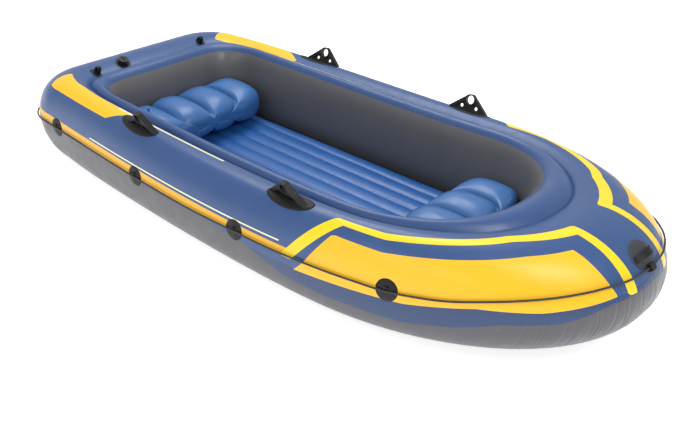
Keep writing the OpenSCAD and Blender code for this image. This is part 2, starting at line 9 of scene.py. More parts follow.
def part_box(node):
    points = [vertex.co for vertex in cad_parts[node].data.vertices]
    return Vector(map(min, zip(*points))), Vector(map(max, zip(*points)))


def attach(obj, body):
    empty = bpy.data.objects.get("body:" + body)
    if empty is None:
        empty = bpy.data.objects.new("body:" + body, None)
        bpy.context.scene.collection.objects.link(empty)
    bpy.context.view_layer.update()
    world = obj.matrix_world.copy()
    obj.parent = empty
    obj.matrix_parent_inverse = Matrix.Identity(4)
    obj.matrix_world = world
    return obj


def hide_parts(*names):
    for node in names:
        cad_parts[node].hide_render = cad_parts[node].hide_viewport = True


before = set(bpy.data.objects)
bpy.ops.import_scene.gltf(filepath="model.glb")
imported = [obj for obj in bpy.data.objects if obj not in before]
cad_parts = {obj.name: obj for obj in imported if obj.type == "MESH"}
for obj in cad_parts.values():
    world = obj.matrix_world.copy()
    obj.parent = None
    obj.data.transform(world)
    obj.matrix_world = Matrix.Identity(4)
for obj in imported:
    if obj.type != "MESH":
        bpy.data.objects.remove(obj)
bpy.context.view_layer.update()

# ---- Camera ----
# A product view from the starboard bow, a little above the tubes, through a long lens.
VIEW_FROM = Vector((2.4035, -2.9168, 2.1245))
VIEW_ALONG = Vector((-0.54056, 0.68254, -0.49187)).normalized()
VIEW_ROLL = 0.065
LENS_MM = 49.92

camera = bpy.data.objects.new("camera", bpy.data.cameras.new("camera"))
camera.data.lens = LENS_MM
camera.data.sensor_width = 36
view_right = VIEW_ALONG.cross(Vector((0, 0, 1))).normalized()
view_up = view_right.cross(VIEW_ALONG)
rolled_right = view_right * math.cos(VIEW_ROLL) + view_up * math.sin(VIEW_ROLL)
rolled_up = view_up * math.cos(VIEW_ROLL) - view_right * math.sin(VIEW_ROLL)
turn = Matrix((rolled_right, rolled_up, -VIEW_ALONG)).transposed().to_4x4()
camera.matrix_world = Matrix.Translation(VIEW_FROM) @ turn
bpy.context.scene.collection.objects.link(camera)
bpy.context.scene.camera = camera
bpy.context.scene.view_settings.view_transform = "Standard"

# ---- Grab line ----
# An 8 mm braided polypropylene line, threaded once round the boat through every holder and made fast at
# the bow, so the boat holds it all the way and it has no free end.
ROPE_R = 0.004
STRAND_PITCH = 0.016
ROUTE_MM = [[-1483, 0, 198], [-1483, -140, 198], [-1483, -280, 198], [-1481, -360, 199], [-1475, -433, 199],
    [-1452, -488, 200], [-1415, -536, 201], [-1367, -573, 202], [-1312, -596, 204], [-1242, -606, 206],
    [-1173, -612, 206], [-1026, -627, 208], [-875, -642, 209], [-715, -656, 209], [-546, -669, 209],
    [-395, -679, 209], [-235, -686, 209], [-75, -691, 213], [73, -692, 218], [225, -692, 221],
    [375, -687, 228], [526, -675, 235], [657, -658, 242], [775, -636, 247], [888, -606, 261],
    [988, -571, 277], [1084, -526, 299], [1188, -462, 322], [1280, -384, 341], [1350, -297, 354],
    [1387, -235, 361], [1410, -185, 364], [1429, -125, 365], [1439, -62, 366], [1443, 0, 366]]


def sheet_of(name, across, along, place):
    """A closed skin: a grid whose points, run and turn values are what place(u, v) returns, welded at its ends."""
    bm = bmesh.new()
    bmesh.ops.create_grid(bm, x_segments=across, y_segments=along, size=0.5)
    run = bm.verts.layers.float.new("run")
    angle = bm.verts.layers.float.new("turn")
    for v in bm.verts:
        spot = place(round(v.co.x + 0.5, 6), round(v.co.y + 0.5, 6))
        v.co = spot[0]
        v[run] = spot[1]
        v[angle] = spot[2]
    bmesh.ops.remove_doubles(bm, verts=bm.verts, dist=2e-5)
    bmesh.ops.recalc_face_normals(bm, faces=bm.faces)
    if bm.calc_volume(signed=True) < 0:
        bmesh.ops.reverse_faces(bm, faces=bm.faces)
    return finished(name, bm)


def finished(name, bm):
    for f in bm.faces:
        f.smooth = True
    mesh = bpy.data.meshes.new(name)
    bm.to_mesh(mesh)
    bm.free()
    piece = bpy.data.objects.new(name, mesh)
    bpy.context.scene.collection.objects.link(piece)
    return piece


class Paint:
    """A material's node tree with short ways to add nodes."""

    def __init__(self, name, roughness=0.4, coat=0.0, specular=0.5):
        self.material = bpy.data.materials.new(name)
        self.material.use_nodes = True
        self.tree = self.material.node_tree
        self.shader = self.tree.nodes["Principled BSDF"]
        self.shader.inputs["Roughness"].default_value = roughness
        self.shader.inputs["Coat Weight"].default_value = coat
        self.shader.inputs["Coat Roughness"].default_value = 0.2
        self.shader.inputs["Specular IOR Level"].default_value = specular
        self.place = self.tree.nodes.new("ShaderNodeTexCoord").outputs["Object"]
        self.bumps = None

    def put(self, socket, value):
        if isinstance(value, bpy.types.NodeSocket):
            self.tree.links.new(value, socket)
        else:
            socket.default_value = value

    def math(self, what, a, b=0.0, c=0.0, clamp=False):
        n = self.tree.nodes.new("ShaderNodeMath")
        n.operation = what
        n.use_clamp = clamp
        for socket, value in zip(n.inputs, (a, b, c)):
            self.put(socket, value)
        return n.outputs[0]

    def attribute(self, name):
        n = self.tree.nodes.new("ShaderNodeAttribute")
        n.attribute_name = name
        return n.outputs["Fac"]

    def noise(self, scale, detail=3.0, rough=0.5, stretch=None):
        n = self.tree.nodes.new("ShaderNodeTexNoise")
        self.put(n.inputs["Scale"], scale)
        self.put(n.inputs["Detail"], detail)
        self.put(n.inputs["Roughness"], rough)
        self.put(n.inputs["Vector"], self.stretched(stretch) if stretch else self.place)
        return n.outputs["Fac"]

    def stretched(self, scale):
        n = self.tree.nodes.new("ShaderNodeMapping")
        self.put(n.inputs["Vector"], self.place)
        n.inputs["Scale"].default_value = scale
        return n.outputs["Vector"]

    def mix(self, fac, a, b):
        n = self.tree.nodes.new("ShaderNodeMix")
        n.data_type = "RGBA"
        self.put(n.inputs["Factor"], fac)
        self.put(n.inputs["A"], (*a, 1) if isinstance(a, tuple) else a)
        self.put(n.inputs["B"], (*b, 1) if isinstance(b, tuple) else b)
        return n.outputs["Result"]

    def remap(self, value, low, high, to_low=0.0, to_high=1.0):
        n = self.tree.nodes.new("ShaderNodeMapRange")
        for socket, number in zip(n.inputs, (value, low, high, to_low, to_high)):
            self.put(socket, number)
        return n.outputs["Result"]

    def curve(self, value, points):
        """A line through (value, result) points, both from 0 to 1."""
        n = self.tree.nodes.new("ShaderNodeFloatCurve")
        self.put(n.inputs["Value"], value)
        line = n.mapping.curves[0]
        for _ in points[2:]:
            line.points.new(0.5, 0.5)
        for dot, spot in zip(line.points, points):
            dot.location = spot
            dot.handle_type = "VECTOR"
        n.mapping.update()
        return n.outputs["Value"]

    def bump(self, height, distance, strength=1.0):
        n = self.tree.nodes.new("ShaderNodeBump")
        n.inputs["Strength"].default_value = strength
        n.inputs["Distance"].default_value = distance
        self.put(n.inputs["Height"], height)
        if self.bumps:
            self.put(n.inputs["Normal"], self.bumps)
        self.bumps = n.outputs["Normal"]

    def done(self, colour, roughness=None):
        self.put(self.shader.inputs["Base Color"], (*colour, 1) if isinstance(colour, tuple) else colour)
        if roughness is not None:
            self.put(self.shader.inputs["Roughness"], roughness)
        if self.bumps:
            self.put(self.shader.inputs["Normal"], self.bumps)
        return self.material


def give(piece, material):
    piece.data.materials.clear()
    piece.data.materials.append(material)


def round_edges(node, width, segments):
    """The soft edges that moulding leaves, on every corner sharper than 40 degrees."""
    soften = node.modifiers.new("rounded edges", "BEVEL")
    soften.width = width
    soften.segments = segments
    soften.limit_method = "ANGLE"
    soften.angle_limit = math.radians(40)


half = [Vector(p) / 1000 for p in ROUTE_MM]
route = half + [Vector((p.x, -p.y, p.z)) for p in half[-2:0:-1]]
STEPS_PER_LEG = 8


def on_route(t):
    """A point of the smooth closed line through the route, with t counted in legs."""
    k = int(t) % len(route)
    f = t - int(t)
    a, b, c, d = (route[(k + j) % len(route)] for j in (-1, 0, 1, 2))
    return 0.5 * (2 * b + (c - a) * f + (2 * a - 5 * b + 4 * c - d) * f * f + (3 * b - a - 3 * c + d) * f ** 3)


legs = len(route) * STEPS_PER_LEG
line_points = [on_route(k / STEPS_PER_LEG) for k in range(legs)]
line_run = [0.0]
for k in range(legs):
    line_run.append(line_run[-1] + (line_points[(k + 1) % legs] - line_points[k]).length)


def on_rope(u, v):
    k = round(u * legs)
    p = line_points[k % legs]
    ahead = (line_points[(k + 1) % legs] - line_points[(k - 1) % legs]).normalized()
    side = ahead.cross(Vector((0, 0, 1))).normalized()
    a = 2 * math.pi * v
    return p + ROPE_R * (side * math.cos(a) + side.cross(ahead) * math.sin(a)), line_run[k], 0.0


rope = sheet_of("grab_line_rope", legs, 10, on_rope)
braid = Paint("braided line", roughness=0.62)
twist = braid.math("MULTIPLY", braid.attribute("run"), 2 * math.pi / STRAND_PITCH)
strands = braid.math("ABSOLUTE", braid.math("SINE", twist))
braid.bump(strands, 0.0012)
braid.bump(braid.noise(900), 0.0004)
# Painted shade: the line's colour is darker in the grooves between the strands and lighter on their crests, following
# the strand bump.
give(rope, braid.done(braid.mix(strands, (0.006, 0.006, 0.007), (0.035, 0.035, 0.038))))
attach(rope, "hull")
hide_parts("grab_line")

# ---- Air tubes ----
# Two tall chambers side by side in one ring: 1 mm coated vinyl, welded along the groove between them and
# to the grey under skin, and pleated under the bow where the flat panel is gathered round the curve.
BOAT_L = 2.95
BOW_RISE = 0.066
RISE_L = 1.441
TUBE_H, BOW_EXTRA_H = 0.394, 0.024
GROOVE = 122.0
WALL_SEAM = 121.0
LOBE_SHARE = 0.442
SHEET_T = 0.0015
PLEAT_EVERY = 0.030
PLEAT_DEPTH = 0.0042
PLEATS_FROM = 3.1


def half_plan(x0, w0, w1, corner, x_side, x_end, ex, ey):
    """One side's outline from the middle of the stern to the bow, with the run along it."""
    a = np.radians(np.linspace(0, 90, 31))
    t = np.linspace(0, 1, 61)[1:-1]
    e = np.radians(np.linspace(0, 90, 121))
    x = np.concatenate([np.full(4, x0), x0 + corner * (1 - np.cos(a[1:])), x0 + corner + (x_side - x0 - corner) * t,
                        x_side + (x_end - x_side) * np.sin(e) ** (2 / ex)])
    y = np.concatenate([(w0 - corner) * np.arange(4) / 3, w0 - corner + corner * np.sin(a[1:]),
                        w0 + (w1 - w0) * np.sin(t * math.pi / 2), w1 * np.cos(e).clip(0) ** (2 / ey)])
    return x, y, np.concatenate([[0], np.cumsum(np.hypot(np.diff(x), np.diff(y)))])


outer_x, outer_y, outer_run = half_plan(0, 0.596, 0.685, 0.223, 1.576, BOAT_L, 2.5, 2.15)
inner_x, inner_y, inner_run = half_plan(0.398, 0.404, 0.427, 0.145, 1.935, 2.333, 2.15, 2.3)
TIP = outer_run[-1]
marks_out = [0, 0.259] + [float(np.interp(x, outer_x[4:], outer_run[4:])) for x in (0.543, 1.935)] + [TIP]
marks_in = [0, 0.259] + [float(np.interp(x, inner_x[4:], inner_run[4:])) for x in (0.543, 1.935)] + [inner_run[-1]]
slopes = np.diff(marks_in) / np.diff(marks_out)
tangents = [slopes[0]] + [2 * a * b / (a + b) for a, b in zip(slopes, slopes[1:])] + [slopes[-1]]


def facing(s):
    """Run along the inner outline that faces a run along the outer one."""
    k = min(max(int(np.searchsorted(marks_out, s)) - 1, 0), 3)
    h = marks_out[k + 1] - marks_out[k]
    t = (s - marks_out[k]) / h
    return float((2 * t ** 3 - 3 * t * t + 1) * marks_in[k] + (t ** 3 - 2 * t * t + t) * h * tangents[k]
                 + (3 * t * t - 2 * t ** 3) * marks_in[k + 1] + (t ** 3 - t * t) * h * tangents[k + 1])


def rise(x):
    """Height of the underside above the ground: flat aft, curving up towards the bow."""
    return BOW_RISE * min(max((x - BOAT_L + RISE_L) / RISE_L, 0), 1) ** 2


class Section:
    """The two lobes at a run from the middle of the stern, port side first and then back along starboard."""

    def __init__(self, s):
        self.run = min(s, 2 * TIP - s)
        flip = 1 if s <= TIP else -1
        o = np.array([np.interp(self.run, outer_run, outer_x), np.interp(self.run, outer_run, outer_y)])
        f = facing(self.run)
        i = np.array([np.interp(f, inner_run, inner_x), np.interp(f, inner_run, inner_y)])
        w = float(np.linalg.norm(o - i))
        self.inward = (i - o) / w * [1, flip]
        self.start = (o - [BOAT_L / 2, 0]) * [1, flip]
        self.a = LOBE_SHARE * w
        cx = o[0] - (o - i)[0] / w * self.a
        q = min(max((cx - 0.4 * BOAT_L) / (0.5 * BOAT_L), 0), 1)
        self.b = (TUBE_H + BOW_EXTRA_H * q * q * (3 - 2 * q)) / 2
        self.ground = rise(cx)
        self.groove_u = self.a * (1 - math.cos(math.radians(GROOVE)))
        self.groove_z = self.b * math.sin(math.radians(GROOVE))
        self.bi = self.b - 0.004
        g = math.asin(self.groove_z / self.bi)
        self.ai = (w - self.groove_u) / (1 + math.cos(g))
        self.uc = w - self.ai
        self.g = math.degrees(g)

    def at(self, u, z):
        return Vector((self.start[0] + self.inward[0] * u, self.start[1] + self.inward[1] * u,
                       self.ground + SHEET_T + self.b + z))

    def outer(self, angle, out=0.0):
        t = math.radians(angle)
        return self.at(self.a - (self.a + out) * math.cos(t), (self.b + out) * math.sin(t))

    def inner(self, angle, out=0.0):
        t = math.radians(angle)
        return self.at(self.uc - (self.ai + out) * math.cos(t), (self.bi + out) * math.sin(t))


# Runs of the sections, closest at the bow where the pleats are
spaced = np.concatenate([np.linspace(0, 0.36, 13), np.linspace(0.36, 0.74, 25)[1:], np.linspace(0.74, 2.6, 63)[1:],
                         np.linspace(2.6, PLEATS_FROM, 34)[1:], np.linspace(PLEATS_FROM, TIP, 180)[1:]])
stations = [Section(s) for s in list(spaced) + [2 * TIP - s for s in spaced[-2::-1]]]
last = len(stations) - 1
ARC_STEPS = 52
WALL_STEPS = 4


def pleat(s, angle):
    """Gathers of the under skin at the bow, deepest low on the tube and fading out towards the sides."""
    window = max(0.0, min(1, (s - PLEATS_FROM) / 0.25)) * math.exp(-((angle + 16) / 27) ** 2)
    phase = s / PLEAT_EVERY + 0.55 * math.sin(s * 23) + 0.35 * math.sin(s * 61 + angle * 0.04)
    depth = 0.55 + 0.45 * math.sin(s * 97 + 1.3)
    fold = phase % 1
    wedge = min(fold / 0.72, (1 - fold) / 0.28)
    return PLEAT_DEPTH * window * depth * (wedge - 0.7)


def on_outer(u, v):
    c = stations[round(u * last)]
    k = round(v * (ARC_STEPS + WALL_STEPS))
    if k <= ARC_STEPS:
        angle = GROOVE * (2 * k / ARC_STEPS - 1)
        return c.outer(angle, pleat(c.run, angle)), c.run, angle
    f = (k - ARC_STEPS) / WALL_STEPS
    return c.at(c.groove_u - 0.0005, c.groove_z * (1 - 2 * f)), c.run, GROOVE * (1 - 2 * f)


def on_inner(u, v):
    c = stations[round(u * last)]
    k = round(v * (ARC_STEPS + WALL_STEPS))
    if k <= ARC_STEPS:
        angle = c.g + (360 - 2 * c.g) * k / ARC_STEPS
        return c.inner(angle), c.run, angle
    f = (k - ARC_STEPS) / WALL_STEPS
    return c.at(c.groove_u + 0.0015, c.groove_z * (2 * f - 1)), c.run, 360 - c.g


outer_tube = sheet_of("outer_tube", last, ARC_STEPS + WALL_STEPS, on_outer)
inner_tube = sheet_of("inner_tube", last, ARC_STEPS + WALL_STEPS, on_inner)

BLUE = (0.021, 0.068, 0.205)
# Painted shade: the blue of the bow's underside below the line, painted darker navy.
BLUE_IN_SHADE = (0.010, 0.040, 0.130)
YELLOW = (0.880, 0.480, 0.0)
LEMON = (0.880, 0.620, 0.0)
# Painted shade: the yellow of the side stripe, painted darker ochre where the side of the tube is shaded.
YELLOW_IN_SHADE = (0.820, 0.420, 0.0)
CREAM = (0.86, 0.84, 0.50)
UNDER_GREY = (0.070, 0.070, 0.082)
WALL_GREY = (0.105, 0.103, 0.108)
RUN_SPAN, TURN_LOW, TURN_SPAN = 4.0, -130.0, 260.0
EDGE_DEG = 0.35
END_SHARPNESS = 3000


def vinyl(paint, colour):
    """Coated vinyl: a faint even grain, slow changes of tone and slight scuffs that dull the gloss."""
    tone = paint.noise(3.2, detail=4)
    shade = paint.mix(paint.remap(tone, 0.3, 0.7, 0.0, 0.16), colour, paint.mix(0.5, colour, (0.0, 0.0, 0.0)))
    dust = paint.noise(38, detail=6, rough=0.65)
    shade = paint.mix(paint.remap(dust, 0.62, 0.85, 0.0, 0.10), shade, (0.38, 0.40, 0.45))
    paint.bump(paint.noise(1500, detail=1), 0.00025, 0.35)
    paint.bump(paint.noise(9, detail=2), 0.006, 0.12)
    return shade, paint.remap(paint.noise(20, detail=5), 0.3, 0.75, 0.33, 0.47)


def line_of(paint, s, points):
    """Boundary angle over the run, as a value from 0 to 1."""
    dots = [(a / RUN_SPAN, (b - TURN_LOW) / TURN_SPAN) for a, b in points]
    return paint.curve(s, [(0.0, dots[0][1])] + dots + [(1.0, dots[-1][1])])


def above(paint, turn_value, boundary):
    gap = paint.math("SUBTRACT", turn_value, boundary)
    return paint.math("MULTIPLY_ADD", gap, TURN_SPAN / EDGE_DEG, 0.5, clamp=True)


def between(paint, s, turn_value, low, high, s_from, s_to):
    """1 inside a printed area bounded by two lines and two ends."""
    inside = paint.math("MULTIPLY", above(paint, turn_value, line_of(paint, s, low)),
                        above(paint, line_of(paint, s, high), turn_value))
    start = paint.math("MULTIPLY_ADD", paint.math("SUBTRACT", s, s_from / RUN_SPAN), END_SHARPNESS, 0.5, clamp=True)
    stop = paint.math("MULTIPLY_ADD", paint.math("SUBTRACT", s_to / RUN_SPAN, s), END_SHARPNESS, 0.5, clamp=True)
    return paint.math("MULTIPLY", inside, paint.math("MULTIPLY", start, stop))


skin = Paint("printed tube vinyl", coat=0.12)
s_value = skin.math("DIVIDE", skin.attribute("run"), RUN_SPAN)
t_value = skin.math("DIVIDE", skin.math("SUBTRACT", skin.attribute("turn"), TURN_LOW), TURN_SPAN)
UNDER_EDGE = [(0, -1), (1.16, -1), (1.9, -1), (2.1, -5), (2.323, -26), (2.5, -29), (2.814, -29), (3.0, -18),
              (3.165, -5), (3.369, 0), (3.547, 14), (3.779, 18)]
blue_part = above(skin, t_value, line_of(skin, s_value, UNDER_EDGE))
colour = skin.mix(blue_part, UNDER_GREY, BLUE)
# Painted shade: on the bow the blue between the grey under skin and the line is painted darker navy where the underside
# of the tube is shaded.
colour = skin.mix(between(skin, s_value, t_value, [(2.0, -60), (3.4, -60)], [(2.04, -8), (2.36, -7), (2.823, -3),
                  (3.077, 9), (3.301, 11), (3.6, 20), (3.779, 26)], 2.05, 3.9), colour,
                  skin.mix(blue_part, UNDER_GREY, BLUE_IN_SHADE))
# On the port side the prints of the upper half sit higher, up to the groove
y_axis = skin.tree.nodes.new("ShaderNodeSeparateXYZ")
skin.put(y_axis.inputs[0], skin.place)
port = skin.remap(y_axis.outputs["Y"], -0.001, 0.001)
raised = skin.math("MULTIPLY", port, skin.remap(t_value, (40 - TURN_LOW) / TURN_SPAN, (65 - TURN_LOW) / TURN_SPAN))
lift = skin.remap(s_value, 2.45 / RUN_SPAN, 3.2 / RUN_SPAN, 20 / TURN_SPAN, 3 / TURN_SPAN)
print_turn = skin.math("SUBTRACT", t_value, skin.math("MULTIPLY", raised, lift))
PRINTS = [
    (YELLOW, [(0.528, 86), (0.622, 54), (1.17, 57), (1.314, 92)],
     [(0.528, 90), (0.62, 96), (0.901, 101), (1.27, 103), (1.314, 92)], 0.528, 1.314),
    (CREAM, [(1.20, 95), (1.86, 96.5)], [(1.20, 103), (1.86, 102)], 1.20, 1.86),
    # Painted shade: the side stripe is the yellow print painted darker ochre.
    (YELLOW_IN_SHADE, [(0.45, 2.5), (2.4, 2.5)], [(0.45, 13), (2.4, 13)], 0.45, 2.34),
    (CREAM, [(1.08, 15.5), (2.32, 17)], [(1.08, 17.2), (2.32, 18.7)], 1.084, 2.28),
    (LEMON, [(2.345, 2), (2.53, 66), (2.723, 63), (2.992, 74), (3.291, 86), (3.60, 83), (3.626, 17)],
     [(2.30, 5), (2.49, 77), (2.723, 74), (2.992, 85), (3.291, 97), (3.64, 94), (3.672, 17)], 2.30, 3.67),
    (YELLOW, [(2.36, -9), (2.823, -3), (3.077, 9), (3.301, 11), (3.575, 20)],
     [(2.36, -9), (2.4, 3), (2.504, 49), (2.723, 46), (2.992, 55), (3.291, 66), (3.505, 69), (3.55, 37), (3.575, 20)],
     2.36, 3.575),
]
for paint_colour, low, high, s_from, s_to in PRINTS:
    colour = skin.mix(between(skin, s_value, print_turn, low, high, s_from, s_to), colour, paint_colour)
colour, dullness = vinyl(skin, colour)
give(outer_tube, skin.done(colour, dullness))

lining = Paint("inner tube vinyl", coat=0.1)
wall_part = lining.remap(lining.attribute("turn"), WALL_SEAM - 0.3, WALL_SEAM + 0.3)
colour, dullness = vinyl(lining, lining.mix(wall_part, BLUE, WALL_GREY))
give(inner_tube, lining.done(colour, dullness))
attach(outer_tube, "hull")
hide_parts("outer_upper_skin", "outer_lower_skin")
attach(inner_tube, "hull")
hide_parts("inner_top_skin", "inner_wall_skin")

# ---- Hidden fabric and the bottom sheet ----
# The wall between the chambers, the bottom sheet that the boat stands on and the webs that hold the floor flat,
# all plain coated vinyl in the grey of the under skin.
plain = Paint("plain grey vinyl")
colour, dullness = vinyl(plain, UNDER_GREY)
plain_grey = plain.done(colour, dullness)
for name in ("chamber_divider", "bottom_sheet", "floor_webs"):
    give(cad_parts[name], plain_grey)

# ---- Air floor ----
# An inflated floor of blue vinyl: webs welded inside it pull ten lengthwise ribs, and the weld lines pucker.
FLOOR_H = 0.076
RIB_SAG = 0.014
FLOOR_GAP = 0.004
RIBS = 10
RIB_PITCH = 2 * 0.409 / RIBS
EDGE_CURVE = 0.062
COCKPIT_FROM, COCKPIT_TO = 0.399, 2.332
FLOOR_FROM, FLOOR_TO = 0.402, 2.329
END_ROUND = 0.07
FLOOR_ALONG = 150
FLOOR_STEPS = 160


def floor_half(x):
    """Half width of the floor at x, which follows the inner wall."""
    inside = min(max(x, COCKPIT_FROM), COCKPIT_TO)
    return float(np.interp(inside, inner_x[4:], inner_y[4:])) - FLOOR_GAP


def on_floor(u, v):
    x = FLOOR_FROM + (FLOOR_TO - FLOOR_FROM) * (1 - math.cos(math.pi * u)) / 2
    w = floor_half(x)
    k = round(v * FLOOR_STEPS * 2)
    top = k <= FLOOR_STEPS
    y = w * (1 - 2 * k / FLOOR_STEPS) if top else w * (2 * (k - FLOOR_STEPS) / FLOOR_STEPS - 1)
    z = rise(x) + SHEET_T + 0.0002
    if top:
        end = min(max(min(x - FLOOR_FROM, FLOOR_TO - x) / END_ROUND, 0), 1)
        side = min(max((w - abs(y)) / EDGE_CURVE, 0), 1)
        f = abs(y) / RIB_PITCH % 1 * 2 - 1
        if abs(y) > RIB_PITCH * (RIBS / 2 - 0.5):
            f = min(f, 0) if abs(y) < RIB_PITCH * RIBS / 2 else 0
        pucker = 0.0011 * noise.noise(Vector((x * 42, y * 9, 0))) * f ** 6
        crest = FLOOR_H - RIB_SAG * (1 - math.sqrt(max(1 - f * f, 0))) + pucker
        z += crest * math.sqrt(1 - (1 - end) ** 2) * (0.35 + 0.65 * math.sqrt(1 - (1 - side) ** 2))
    return Vector((x - BOAT_L / 2, y, z)), x, y


floor = sheet_of("floor_top", FLOOR_ALONG, FLOOR_STEPS * 2, on_floor)
FLOOR_BLUE = (0.016, 0.098, 0.330)
deck = Paint("floor vinyl", coat=0.15)
colour, dullness = vinyl(deck, FLOOR_BLUE)
give(floor, deck.done(colour, dullness))
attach(floor, "hull")
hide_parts("floor_top_sheet")

# ---- Seat cushions ----
# Two loose pillows of the same blue vinyl, each of four lobes: three welds join top and bottom sheet between
# the lobes, and the air pulls creases into the sheet at the ends of each weld.
SEAT_L, SEAT_H = 0.300, 0.190
SEAT_LOBES = 4
SEAT_GAP = 0.004
SEAT_HALF_W = 0.352
LOBE_STEPS = 14
SEAT_ALONG = 46
CUSHION_CAP = 0.014
CUSHION_FRAMES = 20


def cushion(name, node, body, x_mid):
    low, high = (Vector(c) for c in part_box(node))
    z_mid = (low.z + high.z) / 2

    def on_cushion(u, v):
        t = math.sin((u - 0.5) * math.pi)
        x = x_mid + t * SEAT_L / 2
        ring = LOBE_STEPS * SEAT_LOBES
        k = round(v * ring * 2)
        sheet = 1 if k <= ring else -1
        j = k if k <= ring else 2 * ring - k
        r = j / ring * SEAT_LOBES
        lobe = min(int(r), SEAT_LOBES - 1)
        f = 2 * (r - lobe) - 1
        wide = min(floor_half(x + BOAT_L / 2) - SEAT_GAP, SEAT_HALF_W) * max(1 - abs(t) ** 5, 0) ** 0.25
        outside = (lobe == 0 and f < 0) or (lobe == SEAT_LOBES - 1 and f > 0)
        weld = max(0.0, 1 - abs(t) ** 3)
        cut = SEAT_H / 2 if outside else 0.034 + 0.044 * weld
        height = SEAT_H / 2 - cut * (1 - math.sqrt(max(1 - f * f, 0)) ** 0.85)
        height *= 0.95 * max(1 - abs(t) ** 2.6, 0) ** 0.5
        lean = rise(x + BOAT_L / 2) - rise(x_mid + BOAT_L / 2)
        return Vector((x, wide * (1 - 2 * j / ring), z_mid + lean + sheet * height)), x, r

    pad = sheet_of(name, SEAT_ALONG, LOBE_STEPS * SEAT_LOBES * 2, on_cushion)
    rest = [v.co.copy() for v in pad.data.vertices]
    welded = pad.vertex_groups.new(name="welded")
    turn_values = pad.data.attributes["turn"].data
    for v in pad.data.vertices:
        r = turn_values[v.index].value
        on_weld = abs(r - round(r)) < 0.02 and 0.5 < r < SEAT_LOBES - 0.5 and abs(v.co.x - x_mid) < 0.11
        welded.add([v.index], 1.0 if on_weld else 0.0, "REPLACE")
    cloth = pad.modifiers.new("cloth", "CLOTH")
    cloth.settings.quality = 6
    cloth.settings.mass = 0.25
    cloth.settings.tension_stiffness = 40
    cloth.settings.compression_stiffness = 40
    cloth.settings.shear_stiffness = 12
    cloth.settings.bending_stiffness = 0.4
    cloth.settings.shrink_min = -0.035
    cloth.settings.use_pressure = True
    cloth.settings.uniform_pressure_force = 4
    cloth.settings.vertex_group_mass = "welded"
    cloth.settings.effector_weights.gravity = 0
    cloth.collision_settings.use_self_collision = False
    cloth.point_cache.frame_start = 1
    cloth.point_cache.frame_end = CUSHION_FRAMES
    for tick in range(1, CUSHION_FRAMES + 1):
        bpy.context.scene.frame_set(tick)
    held = pad.evaluated_get(bpy.context.evaluated_depsgraph_get())
    blown = [v.co.copy() for v in held.data.vertices]
    pad.modifiers.remove(cloth)
    bpy.context.scene.frame_set(1)
    for v, start, co in zip(pad.data.vertices, rest, blown):
        step = co - start
        if step.length > CUSHION_CAP:
            step *= CUSHION_CAP / step.length
        v.co = start + step
        v.co.z = min(max(v.co.z, low.z - 0.001), high.z + 0.004)
    pad.modifiers.new("smooth", "SUBSURF").levels = 1
    pad.modifiers["smooth"].render_levels = 1
    give(pad, cushion_vinyl)
    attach(pad, body)
    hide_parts(node)


CUSHION_BLUE = (0.030, 0.125, 0.345)
pillow = Paint("cushion vinyl", coat=0.18)
colour, dullness = vinyl(pillow, CUSHION_BLUE)
cushion_vinyl = pillow.done(colour, dullness)
cushion("stern_pillow", "stern_seat", "stern_cushion", -0.919)
cushion("bow_pillow", "bow_seat", "bow_cushion", 0.618)

# ---- Small valves ----
# Soft vinyl filler stems with a plug on each cushion and on the floor, in a ring welded to the fabric.
stem = Paint("soft valve vinyl", roughness=0.45)
stem.bump(stem.noise(600, detail=2), 0.0003, 0.4)
stem_vinyl = stem.done(stem.mix(stem.remap(stem.noise(40), 0.3, 0.7, 0.0, 0.25), (0.05, 0.17, 0.42), (0.03, 0.1, 0.26)))
for place in ("stern_seat", "bow_seat", "floor"):
    for part in ("ring", "stem", "plug"):
        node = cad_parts[f"{place}_valve_{part}"]
        give(node, stem_vinyl)
        round_edges(node, 0.0005, 2)

# ---- Chamber valves ----
# Screw valves moulded in black plastic, one on the stern tube and one on the inner wall: a welded flange and
# socket, a screwed insert with a rubber flap, and a cap on a strap.
moulded = Paint("moulded black plastic", roughness=0.42)
moulded.bump(moulded.noise(700, detail=2), 0.0003, 0.5)
worn = moulded.remap(moulded.noise(60, detail=6), 0.55, 0.8, 0.0, 0.3)
black_plastic = moulded.done(moulded.mix(worn, (0.006, 0.006, 0.0065), (0.024, 0.024, 0.026)),
                             moulded.remap(moulded.noise(25), 0.3, 0.7, 0.36, 0.55))
for chamber in ("outer", "inner"):
    for part in ("base", "seal", "insert", "flap", "strap", "cap"):
        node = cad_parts[f"{chamber}_valve_{part}"]
        give(node, black_plastic)
        round_edges(node, 0.0007, 2)

# ---- Oarlocks ----
# Four black moulded rubber fins on boat-shaped bases welded to the crest of the tube. Each has a round hole
# for the oar and two small cord holes, with the web set back between wide rims.
rubber = Paint("moulded rubber", roughness=0.5, specular=0.3)
rubber.bump(rubber.noise(420, detail=3), 0.0005, 0.5)
rubber.bump(rubber.noise(35, detail=3), 0.0012, 0.3)
bloom = rubber.remap(rubber.noise(14, detail=6, rough=0.6), 0.45, 0.8, 0.0, 0.35)
black_rubber = rubber.done(rubber.mix(bloom, (0.005, 0.005, 0.0055), (0.018, 0.018, 0.02)),
                           rubber.remap(rubber.noise(30), 0.3, 0.7, 0.42, 0.62))


def port_run(x):
    return float(np.interp(x, outer_x[4:], outer_run[4:]))


def disc_point(s, angle, half_s, half_t, side, p, q, height):
    """A place on the tube at p and q of a base's half length and half angle, raised by height."""
    run_at = s + p * half_s
    c = Section(run_at if run_at >= 0 else 0)
    spot = c.outer(angle + q * half_t, height)
    if side < 0:
        spot.y = -spot.y
    return spot


